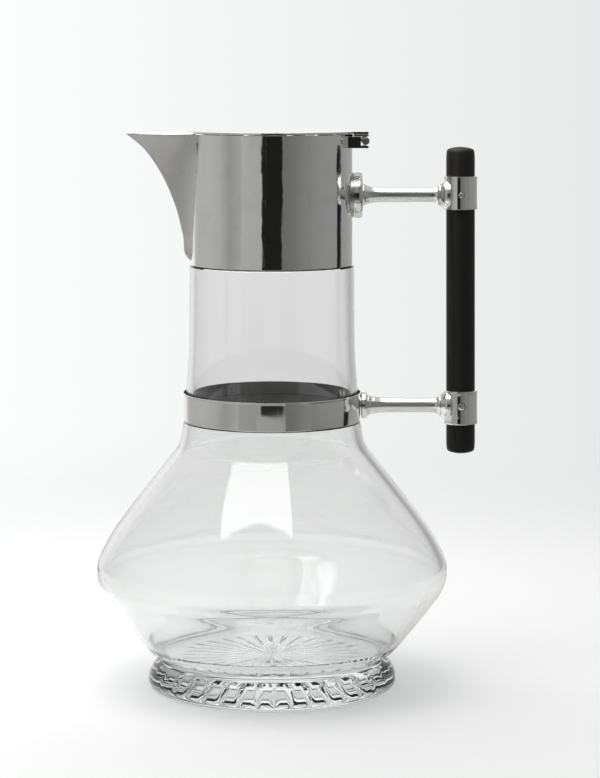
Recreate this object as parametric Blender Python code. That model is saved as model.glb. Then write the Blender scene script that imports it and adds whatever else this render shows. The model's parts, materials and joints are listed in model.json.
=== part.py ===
"""Clear glass jug with silver collar, spout, hinged lid, neck band and an upright wooden rod handle.

The origin is the centre of the foot's underside, +Z is up and +X points to the handle.
Dimensions are millimetres; finish_mesh turns them into metres.
"""

import math

import bmesh
import bpy
from mathutils import Vector

MM = 0.001
GAP = 0.3
ROUND = 48
FINE_ROUND = 24
MERGE_M = 1e-7
SHARP_ANGLE = math.radians(32)

# glass vessel
FOOT_R = 50.2
BASE_R = 48.6
WAIST_R = 45.3
WAIST_Z = 10.0
BELLY_R = 71.2
BELLY_Z = 46.4
BELLY_WALL = 2.8
FLOOR_R = 38.0
FLOOR_Z = 12.4
FLOOR_RISE = 2.6
BAND_SEAT_R = 33.8
NECK_R = 33.6
NECK_WALL = 2.6
SHOULDER_Z = 170.1
COLLAR_SEAT_R = 31.0
COLLAR_SEAT_WALL = 1.6
GLASS_TOP_Z = 191.5

# silver collar around the top of the neck
COLLAR_R = 33.0
COLLAR_WALL = 0.7
COLLAR_LOW_Z = 170.4
COLLAR_TOP_Z = 223.8
MOUTH_LOW_Z = 197.0
MOUTH_LOW_HALF = 6.5
MOUTH_TOP_HALF = 11.8

# spout on the collar's -X side
SPOUT_WALL = 0.8
SPOUT_NOSE = 0.12
SPOUT_ROOT_DEPTH = 1.5
SPOUT_HALF_STEPS = 7

# lid and its hinge, whose axis runs along Y
LID_R = 35.1
LID_THICK = 0.8
TAB_HALF = 12.0
BEZEL_R = 31.3
BEZEL_WALL = 0.8
BEZEL_DEPTH = 2.2
HINGE_X = 37.9
HINGE_Z = 221.1
KNUCKLE_R = 1.6
KNUCKLE_BORE_R = 0.7
HINGE_PIN_R = 0.6
LEAF_THICK = 0.8
LEAF_REACH = 1.2
SHELF_THICK = 1.0

# silver band around the bottom of the neck
BAND_LOW_Z = 106.5
BAND_TOP_Z = 118.5
BAND_LOW_R = 35.9
BAND_TOP_R = 36.25
BAND_WALL = 0.8
BAND_LIP_R = 36.6
BAND_LIP_HEIGHT = 1.6
BEDDING_HEIGHT = 6.0

# handle: an upright rod held by two arms along +X
ROD_X = 76.9
ROD_R = 5.85
ROD_LOW_Z = 93.5
ROD_TOP_Z = 218.4
ROD_END_TAPER = 4.0
UPPER_ARM_Z = 198.9
LOWER_ARM_Z = 113.1
ARM_R = 3.05
ARM_FLARE_X = 64.6
FERRULE_R = 6.9
FERRULE_BORE_R = 6.15
FERRULE_HEIGHT = 13.6
UPPER_FERRULE_Z = 199.7
LOWER_FERRULE_Z = 112.4
UPPER_FLANGE_R = 9.5
UPPER_FLANGE_BACK_X = 33.5
UPPER_FLANGE_X = 36.9
UPPER_BOSS_R = 6.2
UPPER_HUB_R = 4.5
LOWER_FLANGE_R = 5.45
LOWER_FLANGE_BACK_X = 37.0
LOWER_FLANGE_X = 38.9
LOWER_BOSS_R = 4.4
LOWER_HUB_R = 4.15
HUB_LENGTH = 7.0
HANDLE_PIN_R = 0.9
HANDLE_PIN_HOLE_R = 1.2


def clear_scene():
    for old in list(bpy.data.objects):
        bpy.data.objects.remove(old, do_unlink=True)


# ---- materials ----

def material(name, colour, roughness, metallic, transmission=0.0):
    made = bpy.data.materials.new(name)
    made.use_nodes = True
    shader = made.node_tree.nodes["Principled BSDF"]
    shader.inputs["Base Color"].default_value = (*colour, 1.0)
    shader.inputs["Roughness"].default_value = roughness
    shader.inputs["Metallic"].default_value = metallic
    shader.inputs["Transmission Weight"].default_value = transmission
    return made


def glass():
    return material("clear_glass", (0.94, 0.96, 0.96), 0.02, 0.0, transmission=1.0)


def silver(name):
    return material(name + "_silver", (0.86, 0.85, 0.83), 0.12, 1.0)


def cement(name):
    return material(name + "_cement", (0.72, 0.70, 0.66), 0.9, 0.0)


def ebony():
    return material("rod_ebony", (0.02, 0.018, 0.016), 0.45, 0.0)


# ---- outlines ----

def arc(centre_r, centre_z, radius, start_deg, end_deg, steps):
    """Points of a circular arc, with angles measured from +r towards +z."""
    points = []
    for step in range(steps + 1):
        angle = math.radians(start_deg + (end_deg - start_deg) * step / steps)
        points.append((centre_r + radius * math.cos(angle), centre_z + radius * math.sin(angle)))
    return points


def smooth_through(knots, steps=2):
    """Catmull-Rom curve through the knots, with this many steps from one knot to the next."""
    before = tuple(2 * a - b for a, b in zip(knots[0], knots[1]))
    after = tuple(2 * a - b for a, b in zip(knots[-1], knots[-2]))
    line = [before, *knots, after]
    points = []
    for index in range(1, len(line) - 2):
        corners = list(zip(*line[index - 1:index + 3]))
        points += [tuple(between(step / steps, *four) for four in corners) for step in range(steps)]
    points.append(knots[-1])
    return points


def between(t, a, b, c, d):
    """Catmull-Rom value at share t of the way from b to c."""
    slope = (c - a) * t
    bend = (2 * a - 5 * b + 4 * c - d) * t ** 2
    twist = (3 * b - a - 3 * c + d) * t ** 3
    return (2 * b + slope + bend + twist) / 2


def inwards(curve, wall):
    """The same rising curve moved towards the axis by the wall's thickness."""
    moved = []
    for index, (radius, z) in enumerate(curve):
        r0, z0 = curve[max(index - 1, 0)]
        r1, z1 = curve[min(index + 1, len(curve) - 1)]
        length = math.hypot(r1 - r0, z1 - z0)
        moved.append((radius - wall * (z1 - z0) / length, z + wall * (r1 - r0) / length))
    return moved


def value_at(curve, z):
    """First coordinate of a rising curve of (value, z) points at height z."""
    for (v0, z0), (v1, z1) in zip(curve, curve[1:]):
        if z <= z1:
            return v0 + (v1 - v0) * (z - z0) / (z1 - z0)
    return curve[-1][0]


def rectangle(low_x, high_x, half_width):
    return [(low_x, -half_width), (high_x, -half_width), (high_x, half_width), (low_x, half_width)]


# ---- making objects ----

def finish_mesh(name, bm):
    """Scale to metres, turn the faces outwards and shade the round faces smooth."""
    bmesh.ops.scale(bm, vec=(MM, MM, MM), verts=bm.verts)
    bmesh.ops.remove_doubles(bm, verts=bm.verts, dist=MERGE_M)
    bmesh.ops.recalc_face_normals(bm, faces=bm.faces)
    mesh = bpy.data.meshes.new(name)
    bm.to_mesh(mesh)
    bm.free()
    mesh.shade_smooth()
    mesh.set_sharp_from_angle(angle=SHARP_ANGLE)
    return mesh


def place(name, mesh, finish, location=(0, 0, 0), rotation=(0, 0, 0), parent=None):
    """Put a mesh in the scene at a world location, under its parent if it has one."""
    made = bpy.data.objects.new(name, mesh)
    made.data.materials.append(finish)
    made.rotation_euler = rotation
    made.location = Vector(location) * MM
    if parent is not None:
        made.parent = parent
        made.location -= parent.location
    bpy.context.scene.collection.objects.link(made)
    return made


def turned(name, outline, finish, ring=False, segments=ROUND, **placing):
    """Turn an outline of (radius, z) points round the local Z axis.

    A ring's outline is a closed loop clear of the axis; any other is capped flat at both ends.
    """
    bm = bmesh.new()
    verts = [bm.verts.new((radius, 0, z)) for radius, z in outline]
    pairs = list(zip(verts, verts[1:]))
    if ring:
        pairs.append((verts[-1], verts[0]))
    edges = [bm.edges.new(pair) for pair in pairs]
    bmesh.ops.spin(bm, geom=verts + edges, cent=(0, 0, 0), axis=(0, 0, 1),
                   angle=math.tau, steps=segments, use_merge=True)
    if not ring:
        open_edges = [edge for edge in bm.edges if edge.is_boundary]
        bmesh.ops.holes_fill(bm, edges=open_edges, sides=0)
    return place(name, finish_mesh(name, bm), finish, **placing)


def slab(name, corners, low, high, finish, axis="Z", **placing):
    """A flat plate: the corners are 2-D points across the axis, low and high lie along it."""
    def point(a, b, c):
        return {"X": (c, a, b), "Y": (a, c, b), "Z": (a, b, c)}[axis]

    bm = bmesh.new()
    face = bm.faces.new([bm.verts.new(point(a, b, low)) for a, b in corners])
    grown = bmesh.ops.extrude_face_region(bm, geom=[face])
    moved = [item for item in grown["geom"] if isinstance(item, bmesh.types.BMVert)]
    bmesh.ops.translate(bm, verts=moved, vec=point(0, 0, high - low))
    return place(name, finish_mesh(name, bm), finish, **placing)


def along_x(z):
    """Placing for a turned piece whose axis runs along +X at this height."""
    return {"rotation": (0, math.pi / 2, 0), "location": (0, 0, z)}


def along_y(x, y, z):
    """Placing for a turned piece whose axis runs along +Y from this point."""
    return {"rotation": (-math.pi / 2, 0, 0), "location": (x, y, z)}


def as_cutter(tool):
    tool.hide_render = True
    tool.display_type = "WIRE"
    return tool


def upright_cutter(name, low_r, high_r, low_z, high_z, location=(0, 0, 0)):
    """Round upright tool that leaves room for a neighbouring cylinder or cone."""
    return as_cutter(turned(name, [(low_r, low_z), (high_r, high_z)], silver(name), location=location))


def cut(target, *tools):
    for tool in tools:
        change = target.modifiers.new("cut_" + tool.name, "BOOLEAN")
        change.operation = "DIFFERENCE"
        change.solver = "EXACT"
        change.object = tool


# ---- glass ----

def build_glass_body():
    """Vessel turned in one piece: foot, waist, belly, neck and the reduced end in the collar."""
    foot = smooth_through([(BASE_R, 0), (FOOT_R, 3.0), (49.2, 6.4), (WAIST_R, WAIST_Z)])
    belly = smooth_through([(46.6, 11.8), (52.5, 17.5), (65.8, 33.9), (70.2, 41.0), (BELLY_R, BELLY_Z),
                            (69.8, 52.5), (61.6, 66.5), (42.5, 91.0), (38.0, 97.4), (36.5, 104.4)])
    seat_top = BAND_LOW_Z + BEDDING_HEIGHT + 2.0
    neck = [(BAND_SEAT_R, BAND_LOW_Z + 0.7), (BAND_SEAT_R, seat_top)]
    neck += smooth_through([(34.7, seat_top + 4.5), (34.5, 127.0), (33.9, 138.0), (NECK_R, SHOULDER_Z - 0.5)])
    shoulder = [(NECK_R - 0.5, SHOULDER_Z), (COLLAR_SEAT_R, SHOULDER_Z)]
    throat_r = COLLAR_SEAT_R - COLLAR_SEAT_WALL
    rim = arc(COLLAR_SEAT_R - COLLAR_SEAT_WALL / 2, GLASS_TOP_Z, COLLAR_SEAT_WALL / 2, 0, 180, 4)
    throat = [(throat_r, 172.0)]
    inner_neck = inwards(neck, NECK_WALL)[-2::-1]
    inner_belly = inwards(belly, BELLY_WALL)[:2:-1]
    floor = smooth_through([(44.2, 14.6), (FLOOR_R, FLOOR_Z), (28.0, FLOOR_Z + 0.4 * FLOOR_RISE),
                            (14.0, FLOOR_Z + FLOOR_RISE)])
    outline = foot + belly + neck + shoulder + rim + throat + inner_neck + inner_belly + floor
    turned("glass_body", outline, glass())


# ---- collar and spout ----

def build_neck_collar():
    """Plain cylinder with an opening into the spout."""
    inner = COLLAR_R - COLLAR_WALL
    outline = [(COLLAR_R, COLLAR_LOW_Z), (COLLAR_R, COLLAR_TOP_Z),
               (inner, COLLAR_TOP_Z), (inner, COLLAR_LOW_Z)]
    collar = turned("neck_collar", outline, silver("collar"), ring=True)
    mouth = [(-MOUTH_LOW_HALF, MOUTH_LOW_Z), (MOUTH_LOW_HALF, MOUTH_LOW_Z),
             (MOUTH_TOP_HALF, COLLAR_TOP_Z + 2), (-MOUTH_TOP_HALF, COLLAR_TOP_Z + 2)]
    tool = slab("cutter_spout_mouth", mouth, -COLLAR_R - 5, -COLLAR_R + 15, silver("cutter"), axis="X")
    cut(collar, as_cutter(tool))


def build_collar_bedding():
    outer = COLLAR_R - COLLAR_WALL - GAP
    inner = COLLAR_SEAT_R + GAP
    low, high = SHOULDER_Z + 1.5, GLASS_TOP_Z - 2.0
    turned("collar_bedding", [(outer, low), (outer, high), (inner, high), (inner, low)],
           cement("collar"), ring=True)


def spout_keel():
    """Distance of the keel from the axis, rising from its curled foot to the tip."""
    return smooth_through([(30.5, 170.8), (35.4, 172.4), (36.4, 175.6), (36.8, 184.0), (39.6, 194.6),
                           (44.9, 206.8), (52.0, 217.3), (59.2, 224.0)])


def spout_half_width():
    return smooth_through([(0.8, 170.8), (1.8, 172.2), (3.4, 175.5), (7.4, 185.0), (10.4, 193.0),
                           (13.2, 204.0), (14.3, 213.5), (14.7, 224.0)])


def build_spout(collar_fit):
    """A sheet of V sections with a rounded nose, thickened inwards and fitted to the collar."""
    half_width = spout_half_width()
    root_r = COLLAR_R - SPOUT_ROOT_DEPTH
    bm = bmesh.new()
    rows = []
    for keel_x, z in spout_keel():
        width = value_at(half_width, z)
        depth = keel_x - min(math.sqrt(root_r ** 2 - width ** 2), keel_x - 0.2)
        row = []
        for step in range(-SPOUT_HALF_STEPS, SPOUT_HALF_STEPS + 1):
            share = step / SPOUT_HALF_STEPS
            side = math.copysign(abs(share) ** 1.4, share)
            fall = (math.hypot(side, SPOUT_NOSE) - SPOUT_NOSE) / (math.hypot(1, SPOUT_NOSE) - SPOUT_NOSE)
            row.append(bm.verts.new((depth * fall - keel_x, width * side, z)))
        rows.append(row)
    for low, high in zip(rows, rows[1:]):
        for k in range(2 * SPOUT_HALF_STEPS):
            bm.faces.new((low[k], low[k + 1], high[k + 1], high[k]))
    spout = place("spout", finish_mesh("spout", bm), silver("spout"))
    shell = spout.modifiers.new("wall", "SOLIDIFY")
    shell.thickness = SPOUT_WALL * MM
    shell.offset = -1.0
    brim = slab("cutter_spout_brim", rectangle(-70, 0, 30), COLLAR_TOP_Z, COLLAR_TOP_Z + 10, silver("cutter"))
    cut(spout, collar_fit, as_cutter(brim))


# ---- lid and hinge ----

def hinge_axis():
    axis = bpy.data.objects.new("lid_hinge_axis", None)
    axis.location = Vector((HINGE_X, 0, HINGE_Z)) * MM
    bpy.context.scene.collection.objects.link(axis)
    return axis


def build_lid_plate(axis):
    """Round plate whose edge runs out into a square tab over the hinge."""
    start = math.asin(TAB_HALF / LID_R)
    corners = []
    for step in range(ROUND + 1):
        angle = start + (math.tau - 2 * start) * step / ROUND
        corners.append((LID_R * math.cos(angle), LID_R * math.sin(angle)))
    tab_x = HINGE_X + LEAF_REACH
    corners += [(tab_x, -TAB_HALF), (tab_x, TAB_HALF)]
    low = COLLAR_TOP_Z + GAP
    slab("lid_plate", corners, low, low + LID_THICK, silver("lid"), parent=axis)


def build_lid_bezel(axis):
    """Ring that keeps the lid centred in the collar, chamfered where it enters."""
    inner = BEZEL_R - BEZEL_WALL
    high = COLLAR_TOP_Z
    low = high - BEZEL_DEPTH
    outline = [(BEZEL_R - 0.2, low), (BEZEL_R, low + 0.6), (BEZEL_R, high), (inner, high), (inner, low)]
    turned("lid_bezel", outline, silver("bezel"), ring=True, parent=axis)


def build_lid_hinge_leaf(axis):
    strip = rectangle(COLLAR_R + GAP, HINGE_X + LEAF_REACH, TAB_HALF)
    slab("lid_hinge_leaf", strip, COLLAR_TOP_Z - LEAF_THICK, COLLAR_TOP_Z, silver("leaf"), parent=axis)


def build_collar_hinge_bracket(collar_fit):
    """Shelf under the knuckles with a wall behind them, both fitted to the collar's back."""
    shelf_top = HINGE_Z - KNUCKLE_R - GAP
    shelf_low = shelf_top - SHELF_THICK
    shelf_x = HINGE_X + LEAF_REACH
    wall_top = COLLAR_TOP_Z - LEAF_THICK - GAP
    wall_x = HINGE_X - KNUCKLE_R - GAP
    root_x = COLLAR_R - 4.0
    section = [(root_x, shelf_low), (shelf_x, shelf_low), (shelf_x, shelf_top),
               (wall_x, shelf_top), (wall_x, wall_top), (root_x, wall_top)]
    bracket = slab("collar_hinge_bracket", section, -TAB_HALF, TAB_HALF, silver("bracket"), axis="Y")
    cut(bracket, collar_fit)


def build_knuckles(axis):
    """Five short tubes in a row, three on the collar and the two between them on the lid."""
    names = ["collar_knuckle_front", "lid_knuckle_front", "collar_knuckle_middle",
             "lid_knuckle_rear", "collar_knuckle_rear"]
    length = (2 * TAB_HALF - (len(names) - 1) * GAP) / len(names)
    tube = [(KNUCKLE_R, 0), (KNUCKLE_R, length), (KNUCKLE_BORE_R, length), (KNUCKLE_BORE_R, 0)]
    for index, name in enumerate(names):
        start_y = -TAB_HALF + index * (length + GAP)
        turned(name, tube, silver(name), ring=True, segments=FINE_ROUND,
               parent=axis if name.startswith("lid") else None, **along_y(HINGE_X, start_y, HINGE_Z))


def cross_pin(name, radius, reach, x, z):
    """Pin along Y with chamfered ends, reaching the same distance to both sides of the middle."""
    chamfer = radius / 3
    outline = [(radius - chamfer, -reach), (radius, -reach + chamfer),
               (radius, reach - chamfer), (radius - chamfer, reach)]
    turned(name, outline, silver(name), segments=FINE_ROUND, **along_y(x, 0, z))


# ---- band ----

def band_radius(z):
    """Outer radius of the hoop, which widens a little upwards."""
    return BAND_LOW_R + (BAND_TOP_R - BAND_LOW_R) * (z - BAND_LOW_Z) / (BAND_TOP_Z - BAND_LOW_Z)


def build_lower_band():
    """Hoop that widens a little upwards and ends in a flared lip."""
    lip_low = BAND_TOP_Z - BAND_LIP_HEIGHT
    outline = [(BAND_LOW_R - 0.3, BAND_LOW_Z), (BAND_LOW_R, BAND_LOW_Z + 0.4), (BAND_TOP_R, lip_low),
               (BAND_LIP_R, BAND_TOP_Z - 0.5), (BAND_LIP_R, BAND_TOP_Z - 0.2), (BAND_LIP_R - 0.15, BAND_TOP_Z),
               (BAND_TOP_R - 0.5, BAND_TOP_Z), (BAND_TOP_R - BAND_WALL, lip_low),
               (BAND_LOW_R - BAND_WALL, BAND_LOW_Z)]
    turned("lower_band", outline, silver("band"), ring=True)


def build_band_bedding():
    low = BAND_LOW_Z + 1.0
    high = low + BEDDING_HEIGHT
    inner = BAND_SEAT_R + GAP
    clearance = BAND_WALL + GAP
    outline = [(band_radius(low) - clearance, low), (band_radius(high) - clearance, high),
               (inner, high), (inner, low + 0.2)]
    turned("band_bedding", outline, cement("band"), ring=True)


# ---- handle ----

def build_flange(name, z, radius, boss_r, back_x, end_x, fit):
    """Round plate on a narrower boss, which is hollowed to sit on the silver behind it."""
    outline = [(boss_r, back_x - 5.0), (boss_r, back_x), (radius - 0.2, back_x), (radius, back_x + 0.3),
               *arc(radius - 1.0, end_x - 1.0, 1.0, 0, 90, 3)]
    flange = turned(name, outline, silver(name), segments=FINE_ROUND * 3 // 2, **along_x(z))
    cut(flange, fit)


def build_arm(name, z, flange_x, hub_r):
    """Turned arm: a hollow-sided cone at the seat, a plain rod and a beaded trumpet at the socket ring."""
    start = flange_x + GAP
    hub = [(hub_r, start), (hub_r, start + 0.4), (hub_r * 0.88, start + 1.3), (ARM_R + 0.45, start + 2.8),
           (ARM_R + 0.15, start + 4.6), (ARM_R, start + HUB_LENGTH)]
    trumpet = [(ARM_R, ARM_FLARE_X), (3.5, 67.2), (4.3, 68.0), (4.6, 68.3),
               (4.6, 68.7), (5.9, 70.1), (6.4, 71.0), (6.4, 73.0)]
    arm = turned(name, hub + trumpet, silver(name), segments=FINE_ROUND, **along_x(z))
    room = FERRULE_R + GAP
    cut(arm, upright_cutter("cutter_" + name, room, room, z - 20, z + 20, location=(ROD_X, 0, 0)))


def build_ferrule(name, z, hole):
    """Socket ring round the rod, with a hole through it for its pin."""
    half = FERRULE_HEIGHT / 2
    outline = [(FERRULE_BORE_R, -half), (FERRULE_R - 0.2, -half), (FERRULE_R, -half + 0.4),
               (FERRULE_R, half - 0.4), (FERRULE_R - 0.2, half), (FERRULE_BORE_R, half)]
    ferrule = turned(name, outline, silver(name), ring=True, segments=FINE_ROUND, location=(ROD_X, 0, z))
    cut(ferrule, hole)


def build_handle_rod(holes):
    """Straight rod with slightly tapered, rounded ends."""
    half_end = [(ROD_R - 1.2, 0.0), (ROD_R - 0.5, 0.4), (ROD_R - 0.15, 1.6), (ROD_R, ROD_END_TAPER)]
    outline = [(radius, ROD_LOW_Z + height) for radius, height in half_end]
    outline += [(radius, ROD_TOP_Z - height) for radius, height in reversed(half_end)]
    rod = turned("handle_rod", outline, ebony(), segments=FINE_ROUND, location=(ROD_X, 0, 0))
    cut(rod, *holes)


def build_handle(collar_fit):
    holes = []
    for level, z in (("upper", UPPER_ARM_Z), ("lower", LOWER_ARM_Z)):
        cross_pin(level + "_handle_pin", HANDLE_PIN_R, FERRULE_R + 0.25, ROD_X, z)
        through = [(HANDLE_PIN_HOLE_R, -2 * ROD_R), (HANDLE_PIN_HOLE_R, 2 * ROD_R)]
        hole = turned("cutter_pin_" + level, through, silver("cutter"), segments=16, **along_y(ROD_X, 0, z))
        holes.append(as_cutter(hole))
    build_ferrule("upper_ferrule", UPPER_FERRULE_Z, holes[0])
    build_ferrule("lower_ferrule", LOWER_FERRULE_Z, holes[1])
    build_handle_rod(holes)

    below, above = BAND_LOW_Z - 8.0, BAND_TOP_Z + 8.0
    room = GAP + 0.15
    band_fit = upright_cutter("cutter_band_fit", band_radius(below) + room, band_radius(above) + room,
                              below, above)
    build_flange("upper_flange", UPPER_ARM_Z, UPPER_FLANGE_R, UPPER_BOSS_R, UPPER_FLANGE_BACK_X,
                 UPPER_FLANGE_X, collar_fit)
    build_flange("lower_flange", LOWER_ARM_Z, LOWER_FLANGE_R, LOWER_BOSS_R, LOWER_FLANGE_BACK_X,
                 LOWER_FLANGE_X, band_fit)
    build_arm("upper_arm", UPPER_ARM_Z, UPPER_FLANGE_X, UPPER_HUB_R)
    build_arm("lower_arm", LOWER_ARM_Z, LOWER_FLANGE_X, LOWER_HUB_R)


def main():
    clear_scene()
    room = COLLAR_R + GAP
    collar_fit = upright_cutter("cutter_collar_fit", room, room, COLLAR_LOW_Z - 20, COLLAR_TOP_Z + 20)
    build_glass_body()
    build_neck_collar()
    build_collar_bedding()
    build_spout(collar_fit)
    axis = hinge_axis()
    build_lid_plate(axis)
    build_lid_bezel(axis)
    build_lid_hinge_leaf(axis)
    build_collar_hinge_bracket(collar_fit)
    build_knuckles(axis)
    cross_pin("hinge_pin", HINGE_PIN_R, TAB_HALF + 0.2, HINGE_X, HINGE_Z)
    build_lower_band()
    build_band_bedding()
    build_handle(collar_fit)


main()
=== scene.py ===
"""Fine surfaces, materials, floor, light and camera for the glass jug with silver mounts.

Lengths are millimetres up to the studio, except where a name ends in _m; from there on they are
metres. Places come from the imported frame.
"""

import json
import math

import bmesh
import bpy
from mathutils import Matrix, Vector


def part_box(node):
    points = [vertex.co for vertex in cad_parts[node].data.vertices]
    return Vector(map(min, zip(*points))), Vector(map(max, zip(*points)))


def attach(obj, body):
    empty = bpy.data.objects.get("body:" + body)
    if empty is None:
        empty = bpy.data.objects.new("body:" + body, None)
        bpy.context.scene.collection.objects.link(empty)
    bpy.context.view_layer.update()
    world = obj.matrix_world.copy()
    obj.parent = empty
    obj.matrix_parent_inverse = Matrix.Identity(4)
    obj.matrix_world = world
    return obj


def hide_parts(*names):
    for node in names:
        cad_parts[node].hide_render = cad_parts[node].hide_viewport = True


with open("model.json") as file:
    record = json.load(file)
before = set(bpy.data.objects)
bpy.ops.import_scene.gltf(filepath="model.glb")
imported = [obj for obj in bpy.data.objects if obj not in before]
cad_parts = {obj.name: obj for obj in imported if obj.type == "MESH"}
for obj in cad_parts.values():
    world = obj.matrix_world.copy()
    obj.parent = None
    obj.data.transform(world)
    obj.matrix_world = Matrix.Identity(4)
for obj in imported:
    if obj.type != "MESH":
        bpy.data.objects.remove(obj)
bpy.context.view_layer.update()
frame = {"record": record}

MM = 0.001
MERGE_M = 1e-7
FINE = 160
SMALL = 64


class Box:
    """A CAD node's box at rest, in millimetres."""

    def __init__(self, node):
        self.low, self.high = (Vector(corner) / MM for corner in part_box(node))
        self.middle = (self.low + self.high) / 2
        self.half = (self.high - self.low) / 2


GLASS = Box("glass_body")
COLLAR = Box("neck_collar")
BAND = Box("lower_band")
LID = Box("lid_plate")
BEZEL = Box("lid_bezel")
ROD = Box("handle_rod")
HINGE = Vector(frame["record"]["behaviour"]["joints"][0]["pos_m"]) / MM


# ---- curves and outlines ----

def between(t, a, b, c, d):
    """Catmull-Rom value at share t of the way from b to c."""
    slope = (c - a) * t
    bend = (2 * a - 5 * b + 4 * c - d) * t ** 2
    twist = (3 * b - a - 3 * c + d) * t ** 3
    return (2 * b + slope + bend + twist) / 2


def smooth_through(knots, steps=6):
    """Catmull-Rom curve through the knots."""
    before = tuple(2 * a - b for a, b in zip(knots[0], knots[1]))
    after = tuple(2 * a - b for a, b in zip(knots[-1], knots[-2]))
    line = [before, *knots, after]
    points = []
    for index in range(1, len(line) - 2):
        corners = list(zip(*line[index - 1:index + 3]))
        points += [tuple(between(step / steps, *four) for four in corners) for step in range(steps)]
    points.append(tuple(knots[-1]))
    return points


def arc(centre_r, centre_z, radius, start_deg, end_deg, steps=6):
    """Points round a part of a circle, both ends included."""
    points = []
    for step in range(steps + 1):
        angle = math.radians(start_deg + (end_deg - start_deg) * step / steps)
        points.append((centre_r + radius * math.cos(angle), centre_z + radius * math.sin(angle)))
    return points


def value_at(curve, z):
    """First coordinate of a rising curve of (value, z) points at height z."""
    for (v0, z0), (v1, z1) in zip(curve, curve[1:]):
        if z <= z1:
            return v0 + (v1 - v0) * (z - z0) / (z1 - z0)
    return curve[-1][0]


def inwards(curve, walls):
    """A rising curve moved towards the axis by each point's wall thickness."""
    moved = []
    for index, (radius, z) in enumerate(curve):
        r0, z0 = curve[max(index - 1, 0)]
        r1, z1 = curve[min(index + 1, len(curve) - 1)]
        length = math.hypot(r1 - r0, z1 - z0)
        wall = walls[index]
        moved.append((radius - wall * (z1 - z0) / length, z + wall * (r1 - r0) / length))
    return moved


# ---- making pieces ----

def scene_object(name, bm, materials=()):
    """Turn a bmesh in metres into an object of the scene."""
    mesh = bpy.data.meshes.new(name)
    bm.to_mesh(mesh)
    bm.free()
    for finish in materials:
        mesh.materials.append(finish)
    made = bpy.data.objects.new(name, mesh)
    bpy.context.scene.collection.objects.link(made)
    return made


def add_piece(name, bm, materials, node, body="jug", sharp_deg=30):
    """Turn a bmesh in millimetres into a smooth-shaded piece that replaces a CAD node."""
    bmesh.ops.scale(bm, vec=(MM, MM, MM), verts=bm.verts)
    bmesh.ops.remove_doubles(bm, verts=bm.verts, dist=MERGE_M)
    bmesh.ops.recalc_face_normals(bm, faces=bm.faces)
    piece = scene_object(name, bm, materials)
    piece.data.shade_smooth()
    piece.data.set_sharp_from_angle(angle=math.radians(sharp_deg))
    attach(piece, body)
    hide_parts(node)
    return piece


def even_shading(piece):
    """Let broad faces set the normals, so that a small rounded edge doesn't bend their reflections."""
    weigh = piece.modifiers.new("even_shading", "WEIGHTED_NORMAL")
    weigh.keep_sharp = True
    weigh.weight = 80


def cutting_tool(name, bm):
    """Turn a bmesh in millimetres into an object that cut_away uses up."""
    bmesh.ops.scale(bm, vec=(MM, MM, MM), verts=bm.verts)
    bmesh.ops.recalc_face_normals(bm, faces=bm.faces)
    return scene_object(name, bm)


def bake(piece):
    """Apply all of a piece's modifiers."""
    graph = bpy.context.evaluated_depsgraph_get()
    graph.update()
    baked = bpy.data.meshes.new_from_object(piece.evaluated_get(graph))
    piece.modifiers.clear()
    piece.data = baked


def fit_round(piece, name, radius, top_radius, low, high, x=0.0):
    """Cut away what stands inside an upright cone or cylinder."""
    room = lathe([(radius, low), (top_radius, high)], segments=256, origin=(x, 0, 0))
    cut_away(piece, cutting_tool(name, room))


def cut_away(piece, tool):
    """Take the tool's volume out of the piece, and the tool out of the scene."""
    change = piece.modifiers.new(tool.name, "BOOLEAN")
    change.operation = "DIFFERENCE"
    change.object = tool
    bake(piece)
    bpy.data.objects.remove(tool, do_unlink=True)


def turn_about(origin, axis):
    """A function that takes (radius, along, angle) to a point on a piece turned about this axis."""
    axis = Vector(axis)
    side = Vector((0, 0, 1)) if abs(axis.z) < 0.5 else Vector((1, 0, 0))
    other = axis.cross(side)
    return lambda radius, along, angle: (
        Vector(origin) + axis * along + side * radius * math.cos(angle) + other * radius * math.sin(angle))


def lathe(outline, segments=FINE, origin=(0, 0, 0), axis=(0, 0, 1), ring=False):
    """Bmesh of an outline of (radius, along) points turned about an axis.

    A ring's outline closes on itself; an open one is closed with a fan at each end.
    """
    bm = bmesh.new()
    place = turn_about(origin, axis)
    rows = []
    for radius, along in outline:
        rows.append([bm.verts.new(place(radius, along, math.tau * k / segments)) for k in range(segments)])
    if ring:
        rows.append(rows[0])
    for low, high in zip(rows, rows[1:]):
        for k in range(segments):
            n = (k + 1) % segments
            bm.faces.new((low[k], low[n], high[n], high[k]))
    if not ring:
        for row, along in ((rows[0], outline[0][1]), (rows[-1], outline[-1][1])):
            centre = bm.verts.new(place(0, along, 0))
            for k in range(segments):
                bm.faces.new((row[k], row[(k + 1) % segments], centre))
    return bm


def box_mesh(low, high, bevel, steps=3):
    """Bmesh of a block with rounded edges."""
    bm = bmesh.new()
    bmesh.ops.create_cube(bm, size=1)
    size = Vector(high) - Vector(low)
    bmesh.ops.scale(bm, vec=size, verts=bm.verts)
    bmesh.ops.translate(bm, vec=(Vector(high) + Vector(low)) / 2, verts=bm.verts)
    bmesh.ops.bevel(bm, geom=bm.edges[:], offset=bevel, segments=steps, affect="EDGES", profile=0.5)
    return bm


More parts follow.
